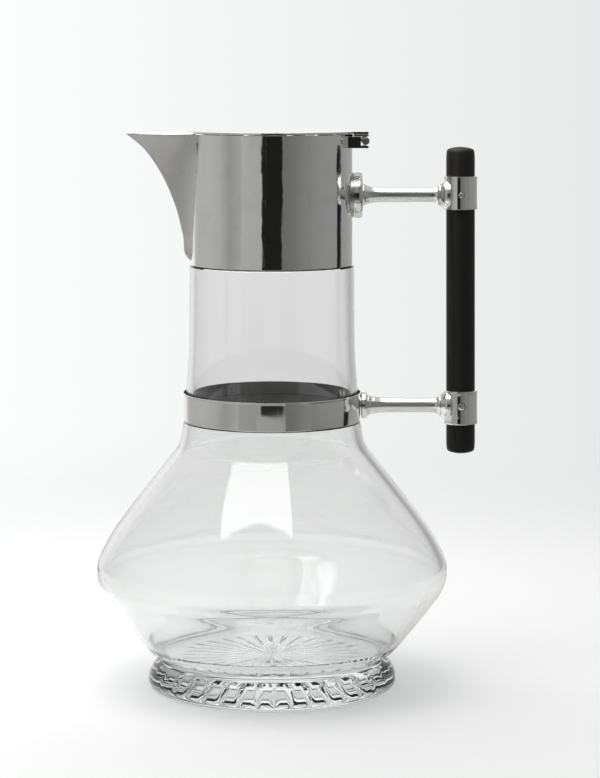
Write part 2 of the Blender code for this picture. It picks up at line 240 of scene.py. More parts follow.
def prism(corners, low, high, axis, bevel, steps=3):
    """Bmesh of a flat outline extruded along X, Y or Z, with rounded edges."""
    def point(a, b, c):
        return {"X": (c, a, b), "Y": (a, c, b), "Z": (a, b, c)}[axis]

    bm = bmesh.new()
    face = bm.faces.new([bm.verts.new(point(a, b, low)) for a, b in corners])
    grown = bmesh.ops.extrude_face_region(bm, geom=[face])
    moved = [item for item in grown["geom"] if isinstance(item, bmesh.types.BMVert)]
    bmesh.ops.translate(bm, verts=moved, vec=point(0, 0, high - low))
    bmesh.ops.recalc_face_normals(bm, faces=bm.faces)
    keen = [edge for edge in bm.edges if edge.calc_face_angle(0) > math.radians(25)]
    bmesh.ops.bevel(bm, geom=keen, offset=bevel, segments=steps, affect="EDGES", profile=0.5)
    return bm


# ---- node helpers ----

class Shader:
    """Short calls for building a node tree."""

    def __init__(self, tree):
        self.tree = tree
        tree.nodes.clear()

    def node(self, kind, inputs=None, **settings):
        made = self.tree.nodes.new(kind)
        for key, value in settings.items():
            setattr(made, key, value)
        for key, value in (inputs or {}).items():
            self.feed(made.inputs[key], value)
        return made

    def feed(self, socket, value):
        if isinstance(value, bpy.types.NodeSocket):
            self.tree.links.new(value, socket)
        else:
            socket.default_value = value

    def math(self, operation, a, b=0.0, clamp=False):
        made = self.node("ShaderNodeMath", {0: a, 1: b}, operation=operation)
        made.use_clamp = clamp
        return made.outputs[0]

    def smooth(self, value, low, high, out_low=0.0, out_high=1.0):
        made = self.node("ShaderNodeMapRange", {"Value": value, "From Min": low, "From Max": high,
                                                "To Min": out_low, "To Max": out_high},
                         interpolation_type="SMOOTHSTEP")
        return made.outputs["Result"]

    def ramp(self, value, stops, interpolation="LINEAR"):
        """Colour ramp whose stops are (place, grey or colour)."""
        made = self.node("ShaderNodeValToRGB", {"Fac": value})
        made.color_ramp.interpolation = interpolation
        points = made.color_ramp.elements
        while len(points) < len(stops):
            points.new(0.5)
        for point, (place, colour) in zip(points, stops):
            point.position = place
            point.color = (*colour, 1) if isinstance(colour, tuple) else (colour, colour, colour, 1)
        return made.outputs["Color"]

    def mix(self, share, a, b):
        made = self.node("ShaderNodeMix", data_type="RGBA")
        self.feed(made.inputs["Factor"], share)
        self.feed(made.inputs["A"], a)
        self.feed(made.inputs["B"], b)
        return made.outputs["Result"]

    def coords(self, scale):
        """Object coordinates stretched by a scale along each axis."""
        place = self.node("ShaderNodeTexCoord").outputs["Object"]
        return self.node("ShaderNodeMapping", {"Vector": place, "Scale": scale}).outputs["Vector"]

    def noise(self, scale, detail=3.0, roughness=0.5, stretch=(1, 1, 1), distortion=0.0):
        made = self.node("ShaderNodeTexNoise", {
            "Vector": self.coords(stretch), "Scale": scale, "Detail": detail, "Roughness": roughness,
            "Distortion": distortion})
        return made.outputs["Fac"]

    def specks(self, scale, size):
        """One inside small round specks, zero elsewhere."""
        cells = self.node("ShaderNodeTexVoronoi", {"Vector": self.coords((1, 1, 1)), "Scale": scale})
        return self.smooth(cells.outputs["Distance"], size, size * 0.5)

    def vector(self, operation, a, b=None):
        inputs = {0: a} if b is None else {0: a, 1: b}
        return self.node("ShaderNodeVectorMath", inputs, operation=operation).outputs["Vector"]

    def dot(self, a, b):
        return self.node("ShaderNodeVectorMath", {0: a, 1: b}, operation="DOT_PRODUCT").outputs["Value"]

    def bump(self, height, distance, strength=1.0, normal=None):
        made = self.node("ShaderNodeBump", {"Height": height, "Distance": distance, "Strength": strength})
        if normal is not None:
            self.feed(made.inputs["Normal"], normal)
        return made.outputs["Normal"]


def new_material(name):
    made = bpy.data.materials.new(name)
    made.use_nodes = True
    return made, Shader(made.node_tree)


# ---- materials ----

def clear_glass():
    """Colourless blown glass with a faint wave and tiny seeds, which casts a faint shadow."""
    made, s = new_material("clear_glass")
    wave = s.noise(28.0, detail=2.0, stretch=(1, 1, 0.6))
    seeds = s.specks(150.0, 0.035)
    normal = s.bump(wave, 0.00006)
    normal = s.bump(seeds, 0.00008, 0.5, normal)
    body = s.node("ShaderNodeBsdfPrincipled", {
        "Base Color": (0.955, 0.96, 0.958, 1), "Roughness": 0.0, "IOR": 1.5,
        "Transmission Weight": 1.0, "Normal": normal})
    clear = s.node("ShaderNodeBsdfTransparent", {"Color": (0.90, 0.905, 0.905, 1)})
    path = s.node("ShaderNodeLightPath")
    whole = s.node("ShaderNodeMixShader", {0: path.outputs["Is Shadow Ray"], 1: body.outputs[0],
                                           2: clear.outputs[0]})
    s.node("ShaderNodeOutputMaterial", {"Surface": whole.outputs[0]})
    return made


def polished_silver(name="polished_silver", wave_m=0.00012, ripple_m=0.0, tarnish_and_shade=0.0, dull_by=0.0):
    """Hand-worked polished silver: slow waves, hairline scratches, pits and a faint warm film.

    tarnish_and_shade, from 0 to 1, makes the film darker, wider and duller: tarnish on the hinge, painted
    shade on the spout and at the upper flange's root; dull_by only adds roughness.
    """
    made, s = new_material(name)
    wave = s.noise(34.0, detail=2.0)
    ripple = s.noise(95.0, detail=2.0)
    hair_up = s.noise(260.0, detail=4.0, roughness=0.75, stretch=(1, 1, 0.05), distortion=0.4)
    hair_round = s.noise(300.0, detail=4.0, roughness=0.75, stretch=(0.12, 0.12, 1.6), distortion=0.6)
    pits = s.specks(420.0, 0.05)
    film = s.noise(90.0, detail=5.0, roughness=0.6)
    scratches = s.math("MULTIPLY", s.smooth(hair_up, 0.60, 0.72), s.smooth(hair_round, 0.35, 0.6))
    normal = s.bump(wave, wave_m, 1.0)
    normal = s.bump(ripple, ripple_m, 1.0, normal)
    normal = s.bump(hair_round, 0.000002, 0.6, normal)
    normal = s.bump(scratches, 0.000004, 0.5, normal)
    normal = s.bump(pits, 0.00002, 0.5, normal)
    bright = (0.925, 0.92, 0.905, 1)
    clean = 1 - tarnish_and_shade
    dull = (0.42 + 0.40 * clean, 0.42 + 0.39 * clean, 0.41 + 0.37 * clean, 1)
    colour = s.mix(s.smooth(film, 0.45, 0.75, tarnish_and_shade, 0.5 + tarnish_and_shade / 2), bright, dull)
    colour = s.mix(s.math("MULTIPLY", pits, 0.6), colour, (0.25, 0.24, 0.22, 1))
    rough = s.math("ADD", s.smooth(film, 0.3, 0.8, 0.035, 0.11), s.math("MULTIPLY", scratches, 0.12))
    rough = s.math("ADD", rough, tarnish_and_shade * 0.25 + dull_by)
    metal = s.node("ShaderNodeBsdfPrincipled", {"Base Color": colour, "Metallic": 1.0, "Roughness": rough,
                                                "Normal": normal})
    s.node("ShaderNodeOutputMaterial", {"Surface": metal.outputs[0]})
    return made


def blackened():
    """Dark dull film on silver that is never polished, mottled and a little grainy; round the pin heads it
    is painted shade.
    """
    made, s = new_material("blackened_silver_and_painted_shade")
    cloud = s.noise(120.0, detail=5.0, roughness=0.65)
    grain = s.noise(1100.0, detail=3.0)
    colour = s.mix(s.smooth(cloud, 0.35, 0.7), (0.026, 0.026, 0.025, 1), (0.062, 0.062, 0.06, 1))
    colour = s.mix(s.smooth(grain, 0.62, 0.75), colour, (0.13, 0.13, 0.125, 1))
    film = s.node("ShaderNodeBsdfPrincipled", {"Base Color": colour, "Metallic": 0.25, "Roughness": 0.55,
                                               "Normal": s.bump(grain, 0.00004, 0.5)})
    s.node("ShaderNodeOutputMaterial", {"Surface": film.outputs[0]})
    return made


def ebony():
    """Near-black wood with fine upright grain and open pores."""
    made, s = new_material("ebony")
    grain = s.noise(900.0, detail=5.0, roughness=0.65, stretch=(1, 1, 0.025))
    streak = s.noise(260.0, detail=3.0, stretch=(1, 1, 0.03))
    pores = s.smooth(s.noise(1500.0, detail=2.0, stretch=(1, 1, 0.04)), 0.62, 0.72)
    colour = s.mix(s.smooth(streak, 0.35, 0.75), (0.0045, 0.0042, 0.004, 1), (0.017, 0.0155, 0.014, 1))
    colour = s.mix(s.math("MULTIPLY", pores, 0.7), colour, (0.002, 0.002, 0.002, 1))
    normal = s.bump(grain, 0.00009, 0.6)
    normal = s.bump(pores, -0.00006, 0.6, normal)
    rough = s.smooth(grain, 0.3, 0.7, 0.46, 0.6)
    wood = s.node("ShaderNodeBsdfPrincipled", {"Base Color": colour, "Roughness": rough, "Normal": normal,
                                               "Specular IOR Level": 0.35})
    s.node("ShaderNodeOutputMaterial", {"Surface": wood.outputs[0]})
    return made


def cement():
    """Matt plaster with fine grains and stains."""
    made, s = new_material("plaster_cement")
    grain = s.noise(700.0, detail=4.0)
    stain = s.noise(90.0, detail=3.0)
    colour = s.mix(s.smooth(stain, 0.35, 0.7), (0.10, 0.096, 0.088, 1), (0.035, 0.033, 0.03, 1))
    plaster = s.node("ShaderNodeBsdfPrincipled", {"Base Color": colour, "Roughness": 0.9,
                                                  "Normal": s.bump(grain, 0.0001, 0.6)})
    s.node("ShaderNodeOutputMaterial", {"Surface": plaster.outputs[0]})
    return made


SILVER = polished_silver()
COLLAR_SILVER = polished_silver("collar_silver", ripple_m=0.00016)
ARM_SILVER = polished_silver("arm_silver", ripple_m=0.00004, dull_by=0.09)
# painted shade: the spout's silver is made darker and duller, for its dim reflections
SPOUT_SILVER = polished_silver("spout_silver", tarnish_and_shade=0.45)
# darker silver: tarnish on the hinge, painted shade at the upper flange's root
TARNISH_AND_SHADE = polished_silver("tarnished_silver_and_painted_shade", tarnish_and_shade=0.9)
# dark film: oxide inside the band, painted shade round the pin heads
BLACKENED_AND_SHADE = blackened()
GLASS_FINISH = clear_glass()
EBONY = ebony()
CEMENT = cement()


# ---- glass vessel ----

STAR_RAYS = 32
STAR_R = 34.5
STAR_WIDE_R = 17.0
STAR_HALF_WIDTH = 1.5
STAR_SLOPE = 0.36
STAR_TURN = 0.035
POINTS_PER_RAY = 8
HALF_SECTOR = math.pi / STAR_RAYS
WIDEST_SHARE = 0.985
NARROWEST_SHARE = 0.02
BASE_R = 48.6
FLOOR_Z = 15.8
INNER_CORNER_Z = 18.5
SEAT_R = 31.0
THROAT_R = 29.4
NECK_WALL = 2.6
LOW_BELLY_WALL = 2.4
BELLY_WALL_GAIN = 0.4
GAIN_START_Z = 16
GAIN_END_Z = 42


def star_half_width(radius):
    """Half the width of a cut ray at this distance from the centre."""
    spacing = HALF_SECTOR * radius
    if radius < STAR_WIDE_R:
        swell = math.sin(math.pi / 2 * radius / STAR_WIDE_R)
    else:
        swell = math.sqrt(max(0.0, 1 - ((radius - STAR_WIDE_R) / (STAR_R - STAR_WIDE_R)) ** 2))
    return min(spacing * WIDEST_SHARE, STAR_HALF_WIDTH * swell)


def glass_outside():
    """Outlines of the foot, the belly and the neck, from the table upwards."""
    foot = smooth_through([(BASE_R, 0), (49.8, 0.9), (50.2, 2.9), (49.6, 5.6), (47.8, 8.5), (45.3, 10.2)], 5)
    belly = smooth_through([(45.6, 10.9), (48.3, 13.5), (52.5, 17.5), (65.8, 33.9), (70.2, 41.0),
                            (71.15, 46.4), (69.8, 52.5), (61.6, 66.5), (42.5, 91.0), (38.0, 97.4),
                            (36.4, 104.4)], 7)
    neck = smooth_through([(35.3, 110.5), (34.8, 121.6), (33.9, 138.0), (33.6, COLLAR.low.z - 0.7)], 6)
    return foot, belly, neck


def glass_inside(belly, neck):
    """Outline of the cavity, from the throat down to the middle of its floor."""
    gains = [min(1, max(0, (z - GAIN_START_Z) / (GAIN_END_Z - GAIN_START_Z))) for _, z in belly]
    belly_walls = [LOW_BELLY_WALL + BELLY_WALL_GAIN * gain for gain in gains]
    inner_neck = inwards(neck, [NECK_WALL] * len(neck))[::-1]
    inner_belly = [point for point in inwards(belly, belly_walls)[::-1] if point[1] > INNER_CORNER_Z]
    corner = smooth_through([inner_belly[-1], (45.6, 16.7), (43.0, 15.9), (39.4, 15.5), (34.5, 15.3),
                             (28.0, 15.3), (20.0, 15.5), (10.0, 15.7), (3.0, FLOOR_Z)], 5)[1:]
    return [(THROAT_R, 172.0)] + inner_neck + inner_belly + corner


def glass_ring(bm, radius, height, cut=False):
    """One ring of points; with cut, its angles follow the edges of the rays and it sinks in them."""
    row = []
    half_angle = star_half_width(radius) / radius if cut else HALF_SECTOR / 2
    half_angle = min(max(half_angle, HALF_SECTOR * NARROWEST_SHARE), HALF_SECTOR * WIDEST_SHARE)
    for k in range(STAR_RAYS * POINTS_PER_RAY):
        ray, place = divmod(k, POINTS_PER_RAY)
        offset = place if place <= POINTS_PER_RAY // 2 else place - POINTS_PER_RAY
        share = abs(offset) / (POINTS_PER_RAY // 2)
        if share <= 0.5:
            angle = half_angle * share * 2
        else:
            angle = half_angle + (HALF_SECTOR - half_angle) * (share - 0.5) * 2
        rise = max(0.0, 1 - share * 2) * star_half_width(radius) * STAR_SLOPE if cut else 0.0
        centre = ray + (0 if offset >= 0 else 1)
        turn = 2 * HALF_SECTOR * centre + math.copysign(angle, offset) + STAR_TURN
        row.append(bm.verts.new((radius * math.cos(turn), radius * math.sin(turn), height + rise)))
    return row


def glass_vessel():
    """Vessel turned from foot to rim, with a star of V-shaped rays cut in its underside."""
    foot, belly, neck = glass_outside()
    shoulder = [(33.3, COLLAR.low.z - 0.35), (32.8, COLLAR.low.z - 0.3), (SEAT_R, COLLAR.low.z - 0.3)]
    rim = arc((SEAT_R + THROAT_R) / 2, GLASS.high.z - 0.8, (SEAT_R - THROAT_R) / 2, 0, 180)
    outline = foot + belly + neck + shoulder + rim + glass_inside(belly, neck)
    star_radii = [1.0, 2.5, 5.0, 7.5, 10.0, 13.0, 16.0, 19.0, 22.0, 25.0, 28.0, 30.5, 32.5, 33.6, 34.2]

    bm = bmesh.new()
    rows = [glass_ring(bm, radius, 0.0, cut=True) for radius in star_radii]
    rows += [glass_ring(bm, radius, 0.0) for radius in (37.6, 42.0, 46.0)]
    rows += [glass_ring(bm, radius, z) for radius, z in outline]
    columns = len(rows[0])
    for low, high in zip(rows, rows[1:]):
        for k in range(columns):
            n = (k + 1) % columns
            bm.faces.new((low[k], low[n], high[n], high[k]))
    for row, height in ((rows[0], 0.05), (rows[-1], FLOOR_Z)):
        centre = bm.verts.new((0, 0, height))
        for k in range(columns):
            bm.faces.new((row[k], row[(k + 1) % columns], centre))
    add_piece("glass_vessel", bm, [GLASS_FINISH], "glass_body", sharp_deg=22)


# ---- collar and spout ----

def collar_shell():
    """Silver cylinder with softened edges and an opening into the spout."""
    r, low, top = COLLAR.half.y, COLLAR.low.z, COLLAR.high.z
    wall = 0.7
    outline = [(r - 0.25, low), (r - 0.07, low + 0.08), (r, low + 0.3)]
    outline += [(r, low + (top - low) * k / 12) for k in range(1, 12)]
    outline += [(r, top - 0.2), (r - 0.1, top), (r - wall, top), (r - wall, low)]
    piece = add_piece("collar_shell", lathe(outline, ring=True), [COLLAR_SILVER], "neck_collar")
    mouth_low, foot_half, head_half = 197.0, 6.5, 11.8
    opening = [(-foot_half, mouth_low), (foot_half, mouth_low), (head_half, top + 2), (-head_half, top + 2)]
    mouth = prism(opening, -r - 5, -r + 15, "X", 0.01, 1)
    cut_away(piece, cutting_tool("spout_mouth", mouth))
    even_shading(piece)


SPOUT_WALL = 0.8
NOSE_SLOPE = 0.5
NOSE_ROUNDING = 0.1
SPOUT_HALF_STEPS = 26


def rounded(side):
    """The distance to the side, with a round bottom where it would turn sharply at zero."""
    return math.hypot(side, NOSE_ROUNDING) - NOSE_ROUNDING


def spout_row(bm, keel_x, half_width, z):
    """Points across one V section, from side to side round its nose.

    Its sides are straight where the V is deep; where it is shallow they are hollow: they leave the
    nose steeply and flare out to the collar.
    """
    depth = keel_x - min(math.sqrt((COLLAR.half.y - 1.6) ** 2 - half_width ** 2), keel_x - 0.2)
    straight = min(1.0, NOSE_SLOPE * depth / half_width)
    row = []
    for step in range(-SPOUT_HALF_STEPS, SPOUT_HALF_STEPS + 1):
        share = step / SPOUT_HALF_STEPS
        side = math.copysign(abs(share) ** 1.3, share)
        across = rounded(side) / rounded(1)
        fall = 2 * across / (straight + math.sqrt(straight ** 2 + 4 * (1 - straight) * across))
        row.append(bm.verts.new((depth * fall - keel_x, half_width * side, z)))
    return row


def spout_shell():
    """V sections lofted up the keel, thickened outwards, fitted to the collar and cut level at the brim."""
    keel = smooth_through([(31.6, 171.2), (33.6, 172.3), (35.2, 174.2), (35.9, 176.2), (36.2, 180.6),
                           (36.8, 184.0), (39.6, 194.6), (44.9, 206.8), (52.0, 217.3), (60.0, 224.0),
                           (62.6, 226.0)], 6)
    half_width = smooth_through([(2.4, 171.2), (5.0, 173.6), (7.4, 176.2), (9.2, 178.6), (10.3, 183.0),
                                 (12.3, 195.0), (14.0, 206.0), (14.8, 214.0), (15.4, 224.0), (15.5, 228.0)])
    bm = bmesh.new()
    rows = []
    for keel_x, z in inwards(keel, [SPOUT_WALL] * len(keel)):
        rows.append(spout_row(bm, keel_x, max(value_at(half_width, z) - 0.4, 0.3), z))
    for low, high in zip(rows, rows[1:]):
        for k in range(2 * SPOUT_HALF_STEPS):
            bm.faces.new((low[k], low[k + 1], high[k + 1], high[k]))
    piece = add_piece("spout_shell", bm, [SPOUT_SILVER], "spout", sharp_deg=40)
    facing = piece.data.polygons[len(piece.data.polygons) // 2].normal.x
    if facing < 0:
        piece.data.flip_normals()
    shell = piece.modifiers.new("wall", "SOLIDIFY")
    shell.thickness = SPOUT_WALL * MM
    shell.offset = -1.0
    fit_round(piece, "spout_fit", COLLAR.half.y - 0.1, COLLAR.half.y - 0.1, 150.0, 240.0)
    brim = box_mesh((-80, -30, COLLAR.high.z), (0, 30, COLLAR.high.z + 10), 0.01, 1)
    cut_away(piece, cutting_tool("spout_brim", brim))


# ---- lid and hinge ----

def lid_disc():
    """Flat round lid with softened edges and a square tab over the hinge."""
    radius, half_tab = LID.half.y, Box("lid_hinge_leaf").half.y
    start = math.asin(half_tab / radius)
    steps = 2 * FINE
    corners = []
    for step in range(steps + 1):
        angle = start + (math.tau - 2 * start) * step / steps
        corners.append((radius * math.cos(angle), radius * math.sin(angle)))
    corners += [(LID.high.x, -half_tab), (LID.high.x, half_tab)]
    bm = prism(corners, LID.low.z, LID.high.z, "Z", 0.06)
    even_shading(add_piece("lid_disc", bm, [SILVER], "lid_plate", body="lid"))


def lid_ring():
    """Thin ring under the lid that keeps it centred in the collar."""
    r, low, high = BEZEL.half.y, BEZEL.low.z, BEZEL.high.z
    outline = [(r - 0.3, low), (r, low + 0.5), (r, high), (r - 0.8, high), (r - 0.8, low + 0.15),
               (r - 0.65, low)]
    add_piece("lid_ring", lathe(outline, ring=True), [SILVER], "lid_bezel", body="lid")


def lid_leaf():
    """Flat strip under the lid's tab."""
    leaf = Box("lid_hinge_leaf")
    plate = box_mesh(leaf.low, leaf.high, 0.05)
    even_shading(add_piece("lid_leaf", plate, [TARNISH_AND_SHADE], "lid_hinge_leaf", body="lid"))


def hinge_bracket():
    """Block on the collar with a shelf under the knuckles and a wall beside them."""
    bracket = Box("collar_hinge_bracket")
    knuckle = Box("collar_knuckle_middle")
    back = 29.0
    half = bracket.half.y
    wall_x = HINGE.x - knuckle.half.x - 0.3
    shelf_top = knuckle.low.z - 0.3
    wall_top = Box("lid_hinge_leaf").low.z - 0.08
    section = [(back, bracket.low.z), (bracket.high.x, bracket.low.z), (bracket.high.x, shelf_top),
               (wall_x, shelf_top), (wall_x, wall_top), (back, wall_top)]
    block = prism(section, -half, half, "Y", 0.06)
    piece = add_piece("hinge_bracket", block, [SILVER], "collar_hinge_bracket")
    fit_round(piece, "bracket_fit", COLLAR.half.y - 0.1, COLLAR.half.y - 0.1, 200.0, 240.0)
    even_shading(piece)


def knuckle_tube(node, body):
    """Barrel of the hinge, bored for its pin."""
    bore = 0.7
    tube = Box(node)
    outer, length = tube.half.z, 2 * tube.half.y
    outline = [(outer - 0.15, 0), (outer, 0.15), (outer, length - 0.15), (outer - 0.15, length),
               (bore, length), (bore, 0)]
    place = (HINGE.x, tube.low.y, HINGE.z)
    bm = lathe(outline, segments=SMALL, origin=place, axis=(0, 1, 0), ring=True)
    even_shading(add_piece(node + "_tube", bm, [TARNISH_AND_SHADE], node, body=body))


def hinge_wire():
    """Pin through the knuckles, with a flat head at each end."""
    reach = Box("hinge_pin").half.y
    head = [(0.9, -reach), (1.25, -reach + 0.06), (1.3, -reach + 0.16), (0.6, -reach + 0.17)]
    outline = head + [(radius, -along) for radius, along in head[::-1]]
    bm = lathe(outline, segments=48, origin=(HINGE.x, 0, HINGE.z), axis=(0, 1, 0))
    even_shading(add_piece("hinge_wire", bm, [TARNISH_AND_SHADE], "hinge_pin"))


# ---- band ----

BAND_LOW_R = 35.9
BAND_TOP_R = 36.25
BAND_WALL = 0.8


def band_hoop():
    """Hoop that widens a little upwards to a thin lip, bright outside and blackened inside."""
    low, top = BAND.low.z, BAND.high.z
    outside = smooth_through([(BAND_LOW_R, low + 0.4), (BAND_LOW_R + 0.13, low + 3.0),
                              (BAND_LOW_R + 0.24, low + 6.0), (BAND_TOP_R - 0.03, low + 9.0),
                              (BAND_TOP_R, top - 1.0)], 4)
    outside = [(BAND_LOW_R - 0.35, low), (BAND_LOW_R - 0.12, low + 0.12)] + outside
    flare = [(BAND_TOP_R + 0.04, top - 0.5), (BAND_TOP_R + 0.12, top - 0.2), (BAND_TOP_R + 0.1, top - 0.05),
             (BAND_TOP_R, top), (BAND_TOP_R - 0.2, top), (BAND_TOP_R - 0.5, top - 0.15)]
    inside = [(BAND_TOP_R - BAND_WALL, top - 1.6), (BAND_TOP_R - BAND_WALL, low + 6.0),
              (BAND_LOW_R - BAND_WALL, low)]
    bm = lathe(outside + flare + inside, ring=True)
    for face in bm.faces:
        centre = face.calc_center_median()
        outer = BAND_LOW_R + (BAND_TOP_R - BAND_LOW_R) * (centre.z - low) / (top - low)
        if math.hypot(centre.x, centre.y) < outer - 0.3 and centre.z > low + 0.1:
            face.material_index = 1
    add_piece("band_hoop", bm, [SILVER, BLACKENED_AND_SHADE], "lower_band")


def cement_ring(node, inner):
    """Ring of plaster between glass and silver, its top edge rubbed down."""
    ring = Box(node)
    outer, low, high = ring.half.y, ring.low.z, ring.high.z
    outline = [(outer, low), (outer - 0.1, high - 0.2), (outer - 0.3, high), (inner, high - 0.1),
               (inner, low)]
    add_piece(node + "_ring", lathe(outline, ring=True), [CEMENT], node)


# ---- handle ----

def upper_flange():
    """Round plate, lipped at the back, whose slightly narrower root meets the collar and is darkened as
    painted shade for the gap behind the plate.
    """
    plate = Box("upper_flange")
    radius, end = plate.half.z, plate.high.x
    root, back = 29.0, 33.2
    boss = [(radius - 0.5, root), (radius - 0.5, back - 0.02), (radius - 0.35, back)]
    lip = [(radius - 0.1, back + 0.12), (radius - 0.08, back + 0.3), (radius - 0.3, back + 0.42),
           (radius - 0.3, back + 0.55), (radius - 0.05, back + 0.7), (radius, back + 1.0)]
    front = [(radius, end - 1.3), (radius - 0.12, end - 0.7), (radius - 0.45, end - 0.25),
             (radius - 1.1, end)]
    bm = lathe(boss + lip + front, segments=96, origin=(0, 0, plate.middle.z), axis=(1, 0, 0))
    # painted shade: the root behind the plate gets the darker silver, for the shaded gap between plate and
    # collar
    for face in bm.faces:
        if face.calc_center_median().x < back - 0.05:
            face.material_index = 1
    piece = add_piece("upper_flange_disc", bm, [SILVER, TARNISH_AND_SHADE], "upper_flange")
    fit_round(piece, "upper_flange_fit", COLLAR.half.y - 0.1, COLLAR.half.y - 0.1, 150.0, 240.0)
    even_shading(piece)


def lower_flange():
    """Small moulded boss that grows out of the hoop, with a collar ring against the arm."""
    boss = Box("lower_flange")
    radius, end = boss.half.z, boss.high.x
    outline = [(radius - 1.2, 30.0), (radius - 1.2, end - 2.7), (radius - 0.5, end - 2.6),
               (radius - 0.1, end - 2.4), (radius, end - 2.0), (radius, end - 0.8),
               (radius - 0.2, end - 0.35), (radius - 0.9, end)]
    bm = lathe(outline, segments=96, origin=(0, 0, boss.middle.z), axis=(1, 0, 0))
    piece = add_piece("lower_flange_boss", bm, [SILVER], "lower_flange")
    fit_round(piece, "lower_flange_fit", BAND_LOW_R + 0.3, BAND_TOP_R, 100.0, 125.0)
    even_shading(piece)


def turned_arm(node, hub_r):
    """Arm with a concave cone at its seat, a slim waist and a beaded trumpet at the socket ring."""
    z, start = Box(node).middle.z, Box(node).low.x
    hub = [(hub_r - 0.3, start - 0.3), (hub_r, start - 0.1), (hub_r, start + 0.15)]
    flare = smooth_through([(hub_r - 0.1, start + 0.4), (hub_r * 0.88, start + 1.3), (3.5, start + 2.8),
                            (3.2, start + 4.6), (3.06, start + 7.5), (3.02, start + 13.0), (2.98, 57.5),
                            (3.0, 63.6), (3.15, 66.0), (3.6, 67.3), (4.3, 68.0)], 5)
    saddle = [(4.55, 68.2), (4.62, 68.45), (4.55, 68.75), (5.2, 69.4), (6.0, 70.2), (6.5, 71.0),
              (6.6, 72.5)]
    bm = lathe(hub + flare + saddle, segments=96, origin=(0, 0, z), axis=(1, 0, 0))
    piece = add_piece(node + "_turned", bm, [ARM_SILVER], node)
    socket = Box("upper_ferrule")
    reach = socket.half.x - 0.25
    fit_round(piece, node + "_room", reach, reach, z - 20, z + 20, x=socket.middle.x)
    even_shading(piece)


def socket_ring(node):
    """Plain tube round the rod, its ends a little rounded and thickened."""
    ring = Box(node)
    r, low, high = ring.half.x, ring.low.z, ring.high.z
    bore = 5.87
    lower = [(bore, low), (r - 0.25, low), (r - 0.06, low + 0.08), (r, low + 0.3), (r - 0.02, low + 0.8),
             (r - 0.1, low + 1.3)]
    wall = [(r - 0.1, low + 1.3 + (high - low - 2.6) * k / 8) for k in range(1, 8)]
    upper = [(radius, high - (z - low)) for radius, z in lower[::-1]]
    bm = lathe(lower + wall + upper, segments=128, origin=(ring.middle.x, 0, 0), ring=True)
    even_shading(add_piece(node + "_ring", bm, [SILVER], node))


def cross_pin(node, r):
    """Riveted pin whose domed heads stand just proud of the socket ring, with a ring of painted shade at
    their edge.
    """
    pin = Box(node)
    reach = pin.half.y
    head = [(0.1 * r, 0.0), (0.35 * r, 0.03), (0.6 * r, 0.1), (0.8 * r, 0.2), (0.93 * r, 0.33), (r, 0.5)]
    outline = [(radius, -reach + drop) for radius, drop in head]
    outline += [(radius, reach - drop) for radius, drop in head[::-1]]
    bm = lathe(outline, segments=48, origin=(pin.middle.x, 0, pin.middle.z), axis=(0, 1, 0))
    # painted shade: the outer rim of each head gets the dark film, for the shadow ring round it
    for face in bm.faces:
        centre = face.calc_center_median()
        if math.hypot(centre.x - pin.middle.x, centre.z - pin.middle.z) > 0.84 * r:
            face.material_index = 1
    add_piece(node + "_peg", bm, [SILVER, BLACKENED_AND_SHADE], node)


def wooden_rod():
    """Slim rod with nearly square ends that close in a shallow dome."""
    r, low, top = ROD.half.x, ROD.low.z, ROD.high.z
    end = [(0.6, 0.0), (r - 3.2, 0.2), (r - 1.5, 0.62), (r - 0.75, 0.95), (r - 0.35, 1.4), (r - 0.15, 2.2),
           (r, 4.5)]
    lower = [(radius, low + height) for radius, height in end]
    upper = [(radius, top - height) for radius, height in end[::-1]]
    middle = [(r, low + 5 + (top - low - 10) * k / 10) for k in range(1, 10)]
    bm = lathe(lower + middle + upper, segments=96, origin=(ROD.middle.x, 0, 0))
    add_piece("wooden_rod", bm, [EBONY], "handle_rod")


# ---- studio ----

def turned_to_camera(s):
    """Level unit vectors away from the camera and to its right, as sockets."""
    def camera_axis(axis):
        return s.node("ShaderNodeVectorTransform", {"Vector": axis}, vector_type="VECTOR",
                      convert_from="CAMERA", convert_to="WORLD").outputs["Vector"]

    both = s.vector("ADD", camera_axis((0, 1, 0)), camera_axis((0, 0, 1)))
    ahead = s.vector("NORMALIZE", s.vector("MULTIPLY", both, (1, 1, 0)))
    return ahead, s.vector("CROSS_PRODUCT", ahead, (0, 0, 1))


def floor_tone(s, a, aside, seen):
    """Pale grained paper with a painted soft shadow in front of the jug; reflections also see a painted
    shadow on its right and painted shade further off.
    """
    mirrored = s.math("SUBTRACT", 1.0, seen)
    grain = s.noise(900.0, detail=2.0)
    tone = s.mix(s.smooth(grain, 0.3, 0.7), (0.872, 0.878, 0.875, 1), (0.884, 0.89, 0.887, 1))
    # painted shadow: the paper in front of the jug is darker, for the jug's soft shadow
    front = s.math("MULTIPLY", s.smooth(a, 0.02, -0.12), s.smooth(aside, -0.24, -0.06))
    front = s.math("MULTIPLY", front, s.smooth(aside, 0.16, 0.02, 0.35, 1.0))
    tone = s.mix(front, tone, (0.77, 0.775, 0.772, 1))
    # painted shadow: reflections see the paper on the jug's right darker, as if shaded from the light on the
    # left
    painted_right_shadow = s.math("MULTIPLY", mirrored, s.smooth(aside, -0.01, 0.03))
    tone = s.mix(painted_right_shadow, tone, (0.55, 0.545, 0.53, 1))
    # painted shade: reflections see the paper further off in front and to the left much darker, for light
    # that falls off there
    dim = s.math("MAXIMUM", s.smooth(a, -0.19, -0.24), s.smooth(aside, -0.10, -0.15))
    return s.mix(s.math("MULTIPLY", dim, mirrored), tone, (0.33, 0.33, 0.325, 1))


